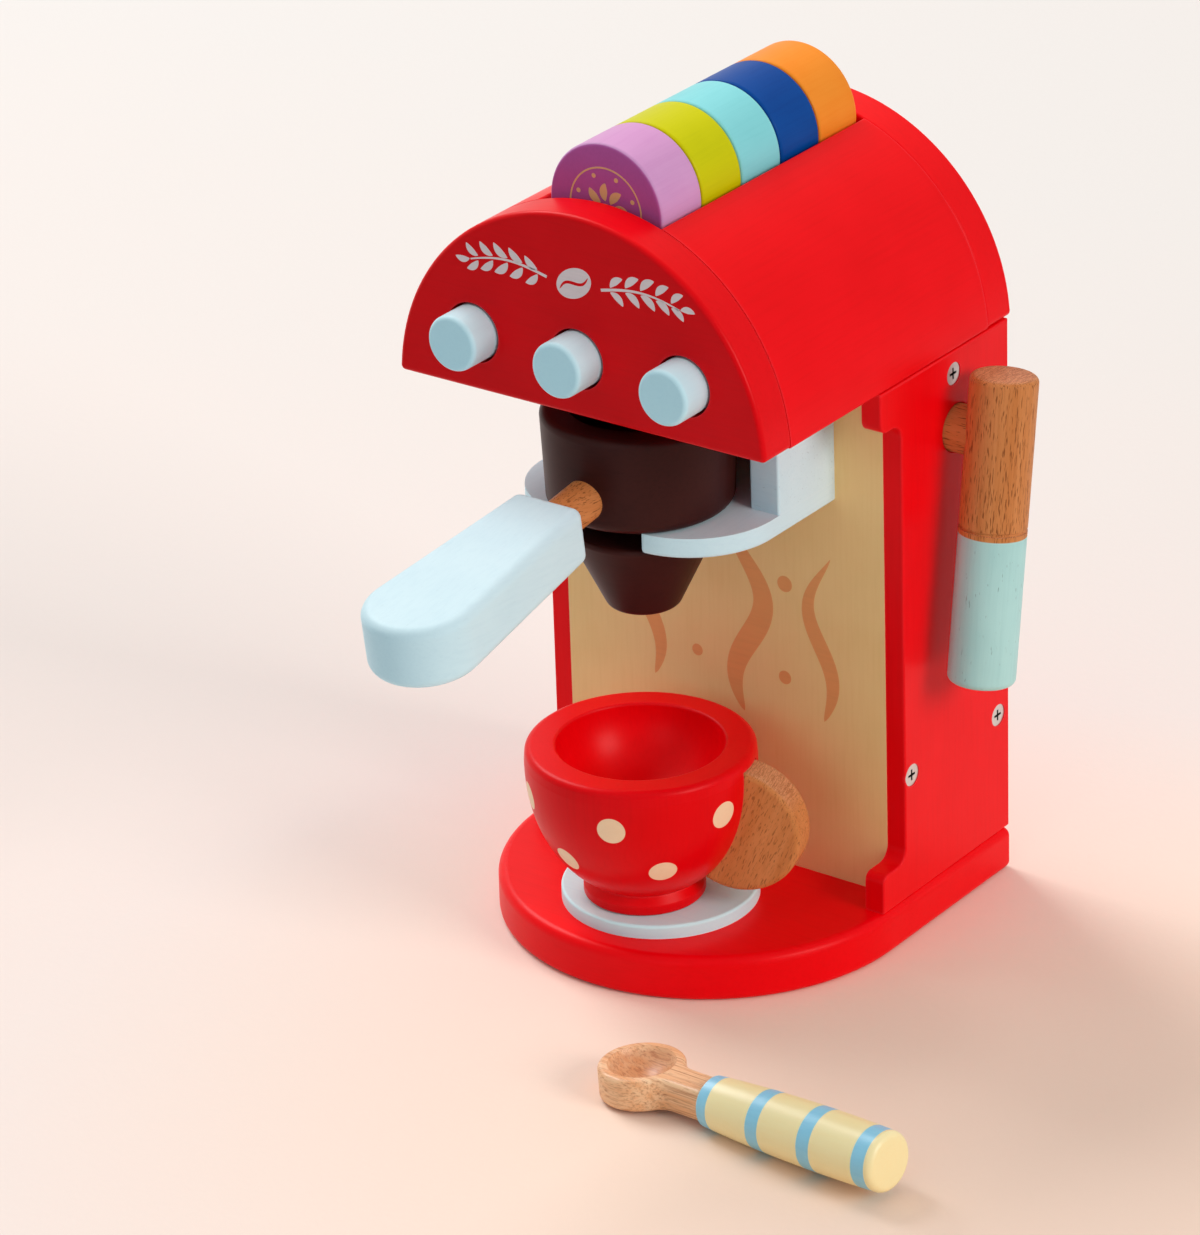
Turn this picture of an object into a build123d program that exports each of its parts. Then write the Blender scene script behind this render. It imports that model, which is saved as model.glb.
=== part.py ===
from build123d import *
import math
import os

# A wooden toy coffee maker: a barrel-topped housing on two side panels and a round-nosed base,
# with push buttons, a swinging steam lever, a slide-in filter, a cup, coffee pods and a scoop.
# Millimetres. +Z is up, -Y is the front and the origin is the middle of the base's underside.

# --- base board ---
base_width = 130.6
base_length = 131.5
base_thickness = 14.3
base_top_radius = 3.0
base_bottom_radius = 2.4
base_corner_radius = 1.6

# --- side panels ---
body_width = 129.2
panel_thickness = 6.6
panel_edge_radius = 0.6
panel_recess_front = 9.1  # Y of the front edge between lug and foot
panel_lug_reach = 10.8  # how far the upper lug stands out in front of that edge
panel_lug_height = 12.8
panel_lug_radius = 3.6
panel_foot_reach = 12.1
panel_foot_height = 12.3
panel_foot_radius = 2.6
panel_inner_radius = 4.6
board_joint = 0.3  # hairline between boards that meet edge to face

# --- panels and rail between the sides ---
splash_thickness = 8.0
splash_setback = 0.2  # the splash panel stands this far in front of the panel edges
rear_panel_thickness = 8.0
rear_panel_inset = 2.0
glue_gap = 0.05
rail_front_gap = 9.9  # from the splash panel
rail_back_gap = 9.4  # from the rear panel
rail_height = 14.0

# --- barrel housing ---
housing_underside = 182.5
housing_depth = 128.2
housing_overhang = 2.1  # past the back of the panels
housing_centre_drop = 3.3  # the barrel's centre lies this far under its flat underside
face_thickness = 13.3
face_corner_radius = 1.6
face_edge_radius = 1.5
back_thickness = 12.8
back_edge_radius = 1.2
groove_radius = 0.7
cover_thickness = 5.5
cover_edge_radius = 0.8
floor_thickness = 6.0
trough_board = 5.0

# --- coffee pods ---
pod_diameter = 39.4
pod_edge_radius = 1.1
pod_count = 5
pod_gap = 0.15
pod_back_gap = 0.5
pod_front_gap = 3.0
pod_side_clearance = 1.3
pod_rise = 16.4  # how far the pods stand above the barrel
pod_seat_gap = 0.2

# --- push buttons ---
button_radius = 8.5
button_hole_clearance = 0.8
button_side_inset = 27.6  # from the face plate's side to the outer buttons
button_floor_gap = 0.9  # from the flange down to the housing's floor
button_protrusion = 10.4
button_travel = 7.0
button_edge_radius = 1.5
button_flange_overlap = 1.5  # past the edge of the hole
button_flange_thickness = 3.0
button_flange_gap = 0.05
button_bore_depth = 8.0
spring_wire_radius = 0.45
spring_radius = 4.2
spring_turns = 7
spring_bore_clearance = 0.5
spring_seat_gap = 0.1
spring_pressed_length = 6.4  # room left for the spring behind a button that is pushed in
spring_board_thickness = 6.0
spring_board_side_gap = 0.45
spring_board_rise = 9.8  # above the middle of the buttons

# --- fork that carries the filter ---
fork_thickness = 6.4
fork_top = 145.8
fork_nose = 20.0  # in front of the filter's axis
fork_corner_radius = 27.3
fork_slot_clearance = 2.8  # round the filter's neck
fork_edge_radius = 1.3
fork_block_width = 10.2
fork_block_clearance = 1.9  # from the filter bowl
fork_block_length = 28.6
fork_block_radius = 0.8

# --- filter ---
filter_reach = 39.9  # from the splash panel to the filter's axis
filter_seat_gap = 0.2
bowl_top_radius = 28.9
bowl_bottom_radius = 27.6
bowl_height = 30.0
bowl_top_edge_radius = 2.2
bowl_bottom_edge_radius = 3.4
bowl_recess_clearance = 0.9
bowl_recess_depth = 12.0
neck_radius = 11.0
neck_play = 0.4  # the neck is this much longer than the fork is thick
spout_top_radius = 23.4
spout_bottom_radius = 10.6
spout_height = 26.6
spout_top_edge_radius = 1.2
spout_bottom_edge_radius = 3.0
tenon_radius = 8.0
tenon_length = 6.0
running_clearance = 0.05

# --- filter handle ---
handle_droop = 7.7  # degrees below level
handle_start = 42.4  # from the filter's axis to the handle's near end
handle_near_height = 153.8
handle_length = 79.0
handle_near_width = 23.4
handle_far_width = 33.7
handle_near_thickness = 18.2
handle_far_thickness = 19.6
handle_edge_radius = 3.2
dowel_radius = 6.2
dowel_in_handle = 20.0
dowel_in_bowl = 11.0

# --- steam lever ---
lever_radius = 10.2
lever_length = 94.8
lever_tilt = 8.1  # degrees, foot towards the front
lever_pivot_from_top = 19.5
lever_panel_gap = 4.7
lever_edge_radius = 2.0
lever_groove_from_top = 46.4
lever_groove_radius = 0.6
lever_behind_rail = 1.5  # the pivot lies this far behind the middle of the rail
lever_height = 157.6
hub_radius = 7.3
hub_clearance = 0.1
hub_in_lever = 7.6
hub_hole_chamfer = 0.4
washer_thickness = 1.6
washer_overlap = 3.0
washer_gap = 0.2

# --- cup and its rest ---
rest_radius = 29.9
rest_thickness = 4.3
rest_edge_radius = 0.8
rest_y = -27.0
cup_x = -0.6
cup_forward = 7.2  # the cup stands this far in front of the middle of its rest
cup_seat_gap = 0.1
cup_height = 49.3
cup_radius = 34.8
cup_mouth_radius = 25.3
cup_mouth_depth = 24.0
cup_rim_band = 4.5
cup_rim_radius = 2.2
cup_rim_taper = 0.4
cup_mouth_edge_radius = 0.8
cup_belly_floor = 1.3  # where the curve of the belly would close below the waist
cup_belly_power = 2.14
cup_foot_radius = 18.4
cup_foot_height = 3.2
cup_foot_edge_radius = 1.0
cup_waist_height = 5.8
cup_handle_radius = 20.0
cup_handle_thickness = 11.0
cup_handle_edge_radius = 2.0
cup_handle_reach = 31.2
cup_handle_height = 26.5
cup_handle_turn = 15.4  # degrees from +X towards the back
cup_handle_wall = 4.0  # wood left between the handle and the cup's mouth

# --- scoop ---
scoop_x = 51.8
scoop_y = -109.0
scoop_turn = -6.4  # degrees from +X towards the front
scoop_floor_gap = 0.05
scoop_bowl_radius = 12.9
scoop_bowl_thickness = 10.0
scoop_bowl_edge_radius = 1.4
scoop_hollow_radius = 10.1
scoop_hollow_depth = 6.2
scoop_neck_width = 10.4
scoop_neck_radius = 6.5
scoop_handle_start = 26.2
scoop_handle_length = 66.6
scoop_start_radius = 7.6
scoop_start_chamfer = 1.0
scoop_middle_radius = 9.2
scoop_end_radius = 8.9
scoop_end_rounding = 2.0
scoop_tenon_radius = 3.6
scoop_tenon_length = 14.0

# --- screws ---
screw_clearance = 0.05
side_screw_head_radius = 3.5
side_screw_shank_radius = 1.75
side_screw_rim = 0.5  # the straight edge of the head
side_screw_cross = 3.6
side_screw_cross_depth = 1.3
cross_arm_width = 0.8
side_screw_length = 25.0
side_screw_low_height = 54.2
base_screw_length = 30.0
base_screw_inset = 18.0  # from the inside of the side panels
rail_screw_length = 18.4
rail_screw_x = 25.0
fork_screw_length = 46.6
screw_sink = 0.25
hub_screw_length = 14.0
hub_screw_head_radius = 4.0
hub_screw_head_height = 2.0
hub_screw_edge_radius = 0.9
hub_screw_cross = 4.0
hub_screw_cross_depth = 1.1

# --- worked out from the sizes above ---
base_half = base_width / 2
base_back = base_length - base_half
body_half = body_width / 2
inner_half = body_half - panel_thickness
panel_bottom = base_thickness
panel_top = housing_underside - board_joint
splash_front = panel_recess_front - splash_setback
splash_middle = splash_front + splash_thickness / 2
rear_panel_back = base_back - rear_panel_inset
rear_panel_middle = rear_panel_back - rear_panel_thickness / 2
rail_bottom = panel_top - rail_height
rail_front = splash_front + splash_thickness + rail_front_gap
rail_back = rear_panel_back - rear_panel_thickness - rail_back_gap
rail_middle = (rail_front + rail_back) / 2
lever_y = rail_middle + lever_behind_rail
base_screw_x = inner_half - base_screw_inset
housing_back = base_back + housing_overhang
housing_front = housing_back - housing_depth
barrel_front = housing_front + face_thickness
barrel_back = housing_back - back_thickness
barrel_length = barrel_back - barrel_front
housing_centre = housing_underside - housing_centre_drop
housing_top = housing_centre + body_half
cover_inner_radius = body_half - cover_thickness
pod_radius = pod_diameter / 2
pod_stack = barrel_length - pod_front_gap - pod_back_gap
pod_thickness = (pod_stack - (pod_count - 1) * pod_gap) / pod_count
pod_centre = housing_top + pod_rise - pod_radius
trough_half = pod_radius + pod_side_clearance
trough_floor_top = pod_centre - pod_radius - pod_seat_gap
trough_floor_bottom = trough_floor_top - trough_board
button_hole_radius = button_radius + button_hole_clearance
button_flange_radius = button_hole_radius + button_flange_overlap
button_spacing = body_half - button_side_inset
housing_floor_top = housing_underside + floor_thickness
button_z = housing_floor_top + button_floor_gap + button_flange_radius
button_front = housing_front - button_protrusion
flange_front = barrel_front + button_flange_gap
flange_back = flange_front + button_flange_thickness
spring_front = flange_back - button_bore_depth + spring_seat_gap
spring_board_front = flange_back + button_travel + spring_pressed_length
spring_board_top = button_z + spring_board_rise
fork_bottom = fork_top - fork_thickness
filter_y = splash_front - filter_reach
fork_front = filter_y - fork_nose
fork_half = bowl_top_radius + fork_block_clearance + fork_block_width
slot_half = neck_radius + fork_slot_clearance
fork_screw_x = fork_half - fork_block_width / 2
fork_block_front = splash_front - fork_block_length
fork_screw_y = (fork_block_front + splash_front) / 2
bowl_bottom = fork_top + filter_seat_gap
bowl_top = bowl_bottom + bowl_height
bowl_recess_radius = pod_radius + bowl_recess_clearance
spout_top = bowl_bottom - fork_thickness - neck_play
lever_x = body_half + lever_panel_gap + lever_radius
hub_inner_end = inner_half - washer_gap
rest_top = base_thickness + rest_thickness
cup_bottom = rest_top + cup_seat_gap
cup_y = rest_y - cup_forward
cup_widest = cup_height - cup_rim_band
cup_ball_radius = (cup_mouth_radius**2 + cup_mouth_depth**2) / (2 * cup_mouth_depth)
cup_ball_height = cup_height - cup_mouth_depth + cup_ball_radius


def write(shape, node):
    export_step(shape, "parts/" + node + ".step")


def rod(radius, length, x=0.0, y=0.0, z=0.0):
    """An upright cylinder that stands on (x, y, z)."""
    return Pos(x, y, z) * Cylinder(radius, length, align=(Align.CENTER, Align.CENTER, Align.MIN))


def rod_along_x(radius, x_low, x_high, y, z):
    bar = Cylinder(radius, x_high - x_low)
    return Pos((x_low + x_high) / 2, y, z) * Rot(0, 90, 0) * bar


def rod_along_y(radius, y_low, y_high, x, z):
    bar = Cylinder(radius, y_high - y_low)
    return Pos(x, (y_low + y_high) / 2, z) * Rot(90, 0, 0) * bar


def board(x_low, x_high, y_low, y_high, z_low, z_high):
    block = Box(x_high - x_low, y_high - y_low, z_high - z_low)
    return Pos((x_low + x_high) / 2, (y_low + y_high) / 2, (z_low + z_high) / 2) * block


# --- screws ---

def countersunk_screw(length, clearance=0.0):
    """Head up at the origin, shank down -Z. With a clearance it is the hole for the screw."""
    head = side_screw_head_radius + clearance
    shank = side_screw_shank_radius + clearance
    cone_depth = head - shank
    tip = 0.0 if clearance else side_screw_shank_radius
    outline = Polyline(
        (0, 0),
        (head, 0),
        (head, -side_screw_rim),
        (shank, -side_screw_rim - cone_depth),
        (shank, -length + tip),
        (shank - tip * 0.9, -length - clearance),
        (0, -length - clearance),
        close=True,
    )
    face = make_face(Plane.XZ * outline)
    return revolve(face, axis=Axis.Z)


def cross_recess(size, depth):
    arm = Box(size, cross_arm_width, 2 * depth)
    return arm + Rot(0, 0, 90) * arm


def screw(length):
    return countersunk_screw(length) - cross_recess(side_screw_cross, side_screw_cross_depth)


def screw_hole(length):
    """The hole runs out past the surface by the depth that the head is sunk."""
    mouth = rod(side_screw_head_radius + screw_clearance, screw_sink + 1.0)
    return countersunk_screw(length, screw_clearance) + mouth


def side_screw_places():
    """Each place turns a screw's head to the outside of a side panel."""
    seats = []
    for side in (-1, 1):
        for y, z in (
            (rail_middle, (rail_bottom + panel_top) / 2),
            (splash_middle, side_screw_low_height),
            (rear_panel_middle, side_screw_low_height),
        ):
            seats.append(Pos(side * (body_half - screw_sink), y, z) * Rot(0, side * 90, 0))
    return seats


def base_screw_places():
    seats = []
    for x in (-base_screw_x, base_screw_x):
        for y in (splash_middle, rear_panel_middle):
            seats.append(Pos(x, y, screw_sink) * Rot(180, 0, 0))
    return seats


def rail_screw_places():
    seats = []
    for x in (-rail_screw_x, rail_screw_x):
        seats.append(Pos(x, rail_middle, rail_bottom + screw_sink) * Rot(180, 0, 0))
    return seats


def fork_screw_places():
    seats = []
    for x in (-fork_screw_x, fork_screw_x):
        seats.append(Pos(x, fork_screw_y, fork_bottom + screw_sink) * Rot(180, 0, 0))
    return seats


def screw_group(places, length):
    return Compound(children=[place * screw(length) for place in places])


def drill(shape, places, length):
    for place in places:
        shape = shape - place * screw_hole(length)
    return shape


# --- base, panels and rail ---

def base_outline():
    nose = ThreePointArc((base_half, 0), (0, -base_half), (-base_half, 0))
    back = Polyline((-base_half, 0), (-base_half, base_back), (base_half, base_back), (base_half, 0))
    return make_face(nose + back)


def base_board():
    body = extrude(base_outline(), base_thickness)
    corners = body.edges().filter_by(Axis.Z).filter_by(lambda edge: edge.center().Y > base_back - 1)
    body = fillet(corners, base_corner_radius)
    body = fillet(body.faces().sort_by(Axis.Z)[-1].edges(), base_top_radius)
    body = fillet(body.faces().sort_by(Axis.Z)[0].edges(), base_bottom_radius)
    return drill(body, base_screw_places(), base_screw_length)


def panel_outline():
    """The side panel's outline as (Y, Z) points: an upper lug and a lower foot in front."""
    lug_front = panel_recess_front - panel_lug_reach
    foot_front = panel_recess_front - panel_foot_reach
    lug_bottom = panel_top - panel_lug_height
    foot_top = panel_bottom + panel_foot_height
    return Polyline(
        (base_back, panel_bottom),
        (base_back, panel_top),
        (lug_front, panel_top),
        (lug_front, lug_bottom),
        (panel_recess_front, lug_bottom),
        (panel_recess_front, foot_top),
        (foot_front, foot_top),
        (foot_front, panel_bottom),
        close=True,
    )


def side_panel(side):
    sheet = make_face(Plane.YZ * panel_outline())
    body = extrude(sheet, panel_thickness)
    lug_front = panel_recess_front - panel_lug_reach
    foot_front = panel_recess_front - panel_foot_reach
    lug_corner = body.edges().filter_by(Axis.X).filter_by(
        lambda e: abs(e.center().Y - lug_front) < 0.1 and e.center().Z < panel_top - 1
    )
    body = fillet(lug_corner, panel_lug_radius)
    foot_corner = body.edges().filter_by(Axis.X).filter_by(
        lambda e: abs(e.center().Y - foot_front) < 0.1 and e.center().Z > panel_bottom + 1
    )
    body = fillet(foot_corner, panel_foot_radius)
    inner_corners = body.edges().filter_by(Axis.X).filter_by(
        lambda e: abs(e.center().Y - panel_recess_front) < 0.1
    )
    body = fillet(inner_corners, panel_inner_radius)
    outer_face = body.faces().sort_by(Axis.X)[-1]
    body = fillet(outer_face.edges(), panel_edge_radius)
    if side < 0:
        body = mirror(body, about=Plane.YZ)
    body = Pos(side * inner_half, 0, 0) * body
    if side > 0:
        body = body - rod_along_x(hub_radius + hub_clearance, 0, body_width, lever_y, lever_height)
        mouth = Pos(body_half, lever_y, lever_height) * Rot(0, 90, 0) * Cone(
            hub_radius + hub_clearance,
            hub_radius + hub_clearance + 2 * hub_hole_chamfer,
            2 * hub_hole_chamfer,
        )
        body = body - mouth
    return drill(body, side_screw_places(), side_screw_length)


def splash_panel():
    half = inner_half - glue_gap
    body = board(-half, half, splash_front, splash_front + splash_thickness, base_thickness, panel_top)
    body = drill(body, side_screw_places(), side_screw_length)
    return drill(body, base_screw_places(), base_screw_length)


def rear_panel():
    half = inner_half - glue_gap
    front = rear_panel_back - rear_panel_thickness
    body = board(-half, half, front, rear_panel_back, base_thickness, panel_top)
    body = drill(body, side_screw_places(), side_screw_length)
    return drill(body, base_screw_places(), base_screw_length)


def top_rail():
    half = inner_half - glue_gap
    body = board(-half, half, rail_front, rail_back, rail_bottom, panel_top)
    body = drill(body, side_screw_places(), side_screw_length)
    return drill(body, rail_screw_places(), rail_screw_length)


# --- barrel housing ---

def barrel_slice(radius, length, y_low):
    """The part of a lying cylinder above the housing's underside."""
    cylinder = rod_along_y(radius, y_low, y_low + length, 0, housing_centre)
    below = board(-200, 200, y_low - 1, y_low + length + 1, -200, housing_underside)
    return cylinder - below


def end_plate(y_low, thickness, front_radius, back_radius):
    body = barrel_slice(body_half, thickness, y_low)
    corners = body.edges().filter_by(Axis.Y)
    body = fillet(corners, face_corner_radius)
    body = fillet(body.faces().sort_by(Axis.Y)[0].edges(), front_radius)
    return fillet(body.faces().sort_by(Axis.Y)[-1].edges(), back_radius)


def face_plate():
    body = end_plate(housing_front, face_thickness, face_edge_radius, groove_radius)
    for step in (-1, 0, 1):
        hole = rod_along_y(
            button_hole_radius,
            housing_front - 1,
            barrel_front + 1,
            step * button_spacing,
            button_z,
        )
        body = body - hole
    return body


def barrel_cover(side):
    """One curved side of the barrel, from the underside up to the slot for the pods."""
    outer = barrel_slice(body_half, barrel_length, barrel_front)
    inner = rod_along_y(cover_inner_radius, barrel_front - 1, barrel_back + 1, 0, housing_centre)
    slot = board(-trough_half, trough_half, barrel_front - 1, barrel_back + 1, 0, 2 * housing_top)
    body = outer - inner - slot
    cut_side = board(-200, 0, barrel_front - 1, barrel_back + 1, 0, 2 * housing_top)
    if side < 0:
        cut_side = board(0, 200, barrel_front - 1, barrel_back + 1, 0, 2 * housing_top)
    body = body - cut_side
    outside = body.edges().filter_by(Axis.Y).filter_by(
        lambda e: math.hypot(e.center().X, e.center().Z - housing_centre) > body_half - 0.1
    )
    body = fillet(outside, cover_edge_radius)
    return body


def inside_barrel(shape):
    """Trims a board to the inside of the curved covers."""
    room = rod_along_y(
        cover_inner_radius - glue_gap, barrel_front, barrel_back, 0, housing_centre
    )
    return shape & room


def housing_floor():
    blank = board(
        -body_half,
        body_half,
        barrel_front,
        barrel_back,
        housing_underside,
        housing_floor_top,
    )
    body = inside_barrel(blank)
    body = drill(body, rail_screw_places(), rail_screw_length)
    return drill(body, fork_screw_places(), fork_screw_length)


def trough_side(side):
    low = trough_half if side > 0 else -trough_half - trough_board
    blank = board(
        low,
        low + trough_board,
        barrel_front,
        barrel_back,
        trough_floor_bottom,
        housing_top,
    )
    return inside_barrel(blank)


def trough_floor():
    half = trough_half - glue_gap
    return board(-half, half, barrel_front, barrel_back, trough_floor_bottom, trough_floor_top)


def spring_board():
    inside = cover_inner_radius - glue_gap
    half = math.sqrt(inside**2 - (spring_board_top - housing_centre) ** 2) - spring_board_side_gap
    back = spring_board_front + spring_board_thickness
    return board(-half, half, spring_board_front, back, housing_floor_top, spring_board_top)


# --- buttons ---

def button(x):
    shaft = rod_along_y(button_radius, button_front, flange_back, x, button_z)
    front_edge = shaft.edges().filter_by(GeomType.CIRCLE).sort_by(Axis.Y)[0]
    shaft = fillet(front_edge, button_edge_radius)
    flange = rod_along_y(button_flange_radius, flange_front, flange_back, x, button_z)
    bore_radius = spring_radius + spring_wire_radius + spring_bore_clearance
    bore = rod_along_y(bore_radius, flange_back - button_bore_depth, flange_back + 1, x, button_z)
    return shaft + flange - bore


def button_spring(x):
    low = spring_front + spring_wire_radius
    high = spring_board_front - spring_seat_gap - spring_wire_radius
    pitch = (high - low) / spring_turns
    path = Helix(pitch, high - low, spring_radius)
    wire = Circle(spring_wire_radius)
    start = Plane(path @ 0, z_dir=path % 0)
    coil = sweep(start * wire, path=path)
    return Pos(x, low, button_z) * Rot(-90, 0, 0) * coil


# --- pods ---

def pod(index):
    """Pods count from the front of the trough."""
    back = barrel_back - pod_back_gap - (pod_count - 1 - index) * (pod_thickness + pod_gap)
    body = rod_along_y(pod_radius, back - pod_thickness, back, 0, pod_centre)
    return fillet(body.edges().filter_by(GeomType.CIRCLE), pod_edge_radius)


# --- fork ---

def fork_outline():
    """Square at the back, with wide round corners in front."""
    corner_x = fork_half - fork_corner_radius
    corner_y = fork_front + fork_corner_radius
    reach = fork_corner_radius * math.sqrt(0.5)
    right = ThreePointArc(
        (fork_half, corner_y), (corner_x + reach, corner_y - reach), (corner_x, fork_front)
    )
    left = ThreePointArc(
        (-corner_x, fork_front), (-corner_x - reach, corner_y - reach), (-fork_half, corner_y)
    )
    front = Line((corner_x, fork_front), (-corner_x, fork_front))
    back = Polyline(
        (-fork_half, corner_y),
        (-fork_half, splash_front),
        (fork_half, splash_front),
        (fork_half, corner_y),
    )
    return make_face(right + front + left + back)


def fork_plate():
    body = Pos(0, 0, fork_bottom) * extrude(fork_outline(), fork_thickness)
    slot = rod(slot_half, 2 * fork_thickness, 0, filter_y, fork_bottom - 1)
    mouth = board(
        -slot_half, slot_half, fork_front - 1, filter_y, fork_bottom - 1, fork_top + 1
    )
    body = body - slot - mouth
    tips = body.edges().filter_by(Axis.Z).filter_by(
        lambda e: e.center().Y < filter_y - slot_half and abs(e.center().X) < slot_half + 0.1
    )
    body = fillet(tips, fork_edge_radius)
    bottom_edges = body.faces().sort_by(Axis.Z)[0].edges()
    body = fillet(bottom_edges.filter_by(lambda e: e.center().Y < splash_front - 1), fork_edge_radius)
    return drill(body, fork_screw_places(), fork_screw_length)


def fork_block(side):
    low = fork_half - fork_block_width if side > 0 else -fork_half
    body = board(
        low,
        low + fork_block_width,
        fork_block_front,
        splash_front,
        fork_top,
        housing_underside,
    )
    front_edges = body.edges().filter_by(Axis.Z).sort_by(Axis.Y)[0:2]
    body = fillet(front_edges, fork_block_radius)
    return drill(body, fork_screw_places(), fork_screw_length)


# --- filter ---

def handle_frame():
    """Origin on the handle's axis at its near end, +Y along the handle away from the filter."""
    start = (0, filter_y - handle_start, handle_near_height)
    return Pos(*start) * Rot(0, 0, 180) * Rot(-handle_droop, 0, 0)


def handle_dowel_blank(radius, extra=0.0):
    length = handle_start - bowl_bottom_radius + dowel_in_bowl + dowel_in_handle + 2 * extra
    middle = dowel_in_handle + extra - length / 2
    return handle_frame() * Pos(0, middle, 0) * Rot(90, 0, 0) * Cylinder(radius, length)


def filter_bowl():
    profile = Polyline(
        (0, bowl_bottom),
        (bowl_bottom_radius, bowl_bottom),
        (bowl_top_radius, bowl_top),
        (0, bowl_top),
        close=True,
    )
    body = revolve(make_face(Plane.XZ * profile), axis=Axis.Z)
    rims = body.edges().filter_by(GeomType.CIRCLE).sort_by(Axis.Z)
    body = fillet(rims[-1], bowl_top_edge_radius)
    rims = body.edges().filter_by(GeomType.CIRCLE).sort_by(Axis.Z)
    body = fillet(rims[0], bowl_bottom_edge_radius)
    recess = rod(bowl_recess_radius, bowl_recess_depth + 1, 0, 0, bowl_top - bowl_recess_depth)
    socket = rod(tenon_radius + running_clearance, tenon_length + 1.2, 0, 0, bowl_bottom - 1)
    body = Pos(0, filter_y, 0) * (body - recess - socket)
    return body - handle_dowel_blank(dowel_radius + glue_gap, glue_gap)


def filter_spout():
    spout_bottom = spout_top - spout_height
    profile = Polyline(
        (0, spout_bottom),
        (spout_bottom_radius, spout_bottom),
        (spout_top_radius, spout_top),
        (neck_radius, spout_top),
        (neck_radius, bowl_bottom),
        (tenon_radius, bowl_bottom),
        (tenon_radius, bowl_bottom + tenon_length),
        (0, bowl_bottom + tenon_length),
        close=True,
    )
    body = revolve(make_face(Plane.XZ * profile), axis=Axis.Z)
    rims = body.edges().filter_by(GeomType.CIRCLE)
    wide = rims.filter_by(lambda e: abs(e.radius - spout_top_radius) < 0.01)
    body = fillet(wide, spout_top_edge_radius)
    low = body.edges().filter_by(GeomType.CIRCLE).sort_by(Axis.Z)[0]
    body = fillet(low, spout_bottom_edge_radius)
    return Pos(0, filter_y, 0) * body


def tangent_point(corner_x, centre_y, radius):
    """Where a line from (corner_x, 0) touches a circle centred on the Y axis."""
    distance = math.hypot(corner_x, centre_y)
    to_corner = math.atan2(-centre_y, corner_x)
    angle = to_corner + math.acos(radius / distance)
    return radius * math.cos(angle), centre_y + radius * math.sin(angle)


def handle_plan():
    near = handle_near_width / 2
    far = handle_far_width / 2
    centre = handle_length - far
    touch_x, touch_y = tangent_point(near, centre, far)
    arc = ThreePointArc((touch_x, touch_y), (0, handle_length), (-touch_x, touch_y))
    sides = Polyline((-touch_x, touch_y), (-near, 0), (near, 0), (touch_x, touch_y))
    return make_face(arc + sides)


def filter_handle():
    plan = extrude(handle_plan(), handle_far_thickness)
    plan = Pos(0, 0, -handle_far_thickness / 2) * plan
    near = handle_near_thickness / 2
    far = handle_far_thickness / 2
    side = Polyline((0, -near), (handle_length, -far), (handle_length, far), (0, near), close=True)
    wedge = extrude(Plane.YZ * make_face(side), handle_far_width, both=True)
    body = plan & wedge
    body = fillet(body.edges(), handle_edge_radius)
    return handle_frame() * body - handle_dowel_blank(dowel_radius + glue_gap, glue_gap)


# --- steam lever ---

def lever_frame():
    """Origin at the pivot, +Z up the lever."""
    return Pos(lever_x, lever_y, lever_height) * Rot(-lever_tilt, 0, 0)


def lever_hub():
    hub_end = lever_x - lever_radius + hub_in_lever
    body = rod_along_x(hub_radius, hub_inner_end, hub_end, lever_y, lever_height)
    screw_end = hub_inner_end + hub_screw_length
    pilot = side_screw_shank_radius + screw_clearance
    return body - rod_along_x(pilot, hub_inner_end - 1, screw_end + 0.2, lever_y, lever_height)


def lever_bar():
    low = lever_pivot_from_top - lever_length
    body = rod(lever_radius, lever_length, 0, 0, low)
    body = fillet(body.edges().filter_by(GeomType.CIRCLE), lever_edge_radius)
    groove_z = lever_pivot_from_top - lever_groove_from_top
    body = body - Pos(0, 0, groove_z) * Torus(lever_radius, lever_groove_radius)
    body = lever_frame() * body
    socket_end = lever_x - lever_radius + hub_in_lever + 0.2
    socket = rod_along_x(hub_radius + glue_gap, body_half, socket_end, lever_y, lever_height)
    return body - socket


def lever_washer():
    outer = hub_radius + washer_overlap
    low = hub_inner_end - washer_thickness
    body = rod_along_x(outer, low, hub_inner_end, lever_y, lever_height)
    pilot = side_screw_shank_radius + screw_clearance
    return body - rod_along_x(pilot, low - 1, hub_inner_end + 1, lever_y, lever_height)


def lever_screw():
    head_end = hub_inner_end - washer_thickness
    head = rod_along_x(
        hub_screw_head_radius, head_end - hub_screw_head_height, head_end, lever_y, lever_height
    )
    head = fillet(head.edges().filter_by(GeomType.CIRCLE).sort_by(Axis.X)[0], hub_screw_edge_radius)
    shank_end = hub_inner_end + hub_screw_length
    shank = rod_along_x(side_screw_shank_radius, head_end, shank_end, lever_y, lever_height)
    cross = Pos(head_end - hub_screw_head_height, lever_y, lever_height) * Rot(0, 90, 0)
    return head + shank - cross * cross_recess(hub_screw_cross, hub_screw_cross_depth)


# --- cup ---

def cup_rest():
    body = rod(rest_radius, rest_thickness, 0, rest_y, base_thickness)
    return fillet(body.edges().filter_by(GeomType.CIRCLE).sort_by(Axis.Z)[-1], rest_edge_radius)


def cup_belly_radius(height):
    """The belly is a superellipse that is widest under the rim."""
    share = (cup_widest - height) / (cup_widest - cup_belly_floor)
    return cup_radius * (1 - share**cup_belly_power) ** (1 / cup_belly_power)


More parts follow.
